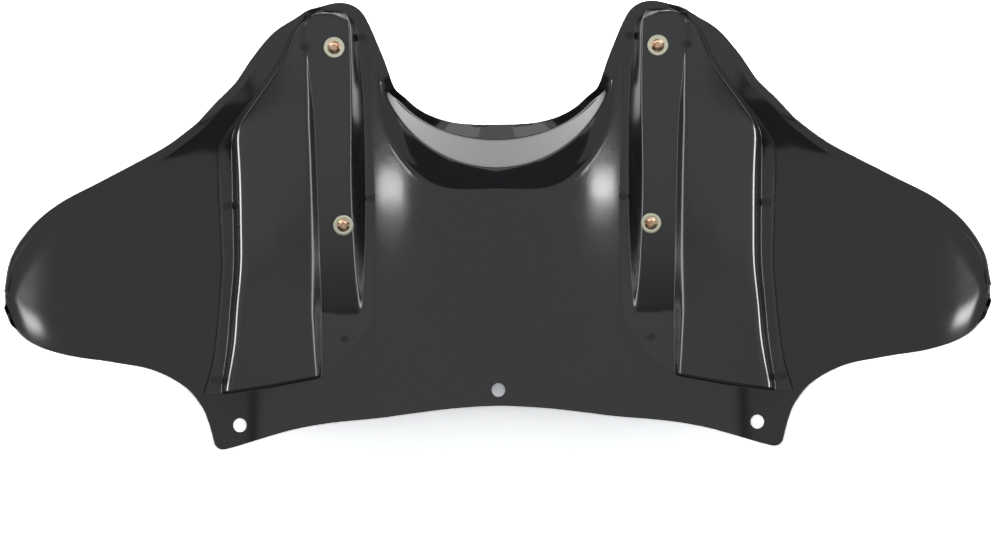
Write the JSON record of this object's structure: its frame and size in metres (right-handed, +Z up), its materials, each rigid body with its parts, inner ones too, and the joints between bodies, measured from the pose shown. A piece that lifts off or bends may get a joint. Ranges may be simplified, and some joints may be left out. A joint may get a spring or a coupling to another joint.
{
  "type": "motorcycle fairing",
  "caption": "Two-winged black fairing shell with a cut-out and hood for the headlight, windshield holes along its upper edge, and screwed-in inner panels with bracket bolts.",
  "frame": {"origin": "centre of the four bracket bolts, on the terraces of the inner panels that the bracket plates sit on", "axes": "+X across the fairing to the rider's left, +Y back to the rider, +Z up, as the fairing sits on the motorcycle with its face leant back from upright"},
  "size_m": [0.8494, 0.276, 0.3506],
  "materials": {
    "shell_plastic": "satin black",
    "panel_plastic": "satin black",
    "bolt_steel": "yellow zinc",
    "washer_zinc": "yellow zinc",
    "nut_zinc": "zinc",
    "screw_black": "black"
  },
  "bodies": {
    "root": {"outer_shell": "shell_plastic", "left_inner_panel": "panel_plastic", "right_inner_panel": "panel_plastic", "bracket_bolt_1": "bolt_steel", "bracket_bolt_2": "bolt_steel", "bracket_bolt_3": "bolt_steel", "bracket_bolt_4": "bolt_steel", "bracket_washer_1": "washer_zinc", "bracket_washer_2": "washer_zinc", "bracket_washer_3": "washer_zinc", "bracket_washer_4": "washer_zinc", "bracket_nut_1": "nut_zinc", "bracket_nut_2": "nut_zinc", "bracket_nut_3": "nut_zinc", "bracket_nut_4": "nut_zinc", "panel_screw_1": "screw_black", "panel_screw_2": "screw_black", "panel_screw_3": "screw_black", "panel_screw_4": "screw_black", "panel_screw_5": "screw_black", "panel_screw_6": "screw_black", "panel_screw_7": "screw_black", "panel_screw_8": "screw_black", "panel_screw_9": "screw_black", "panel_screw_10": "screw_black", "panel_screw_11": "screw_black", "panel_screw_12": "screw_black"}
  },
  "joints": []
}
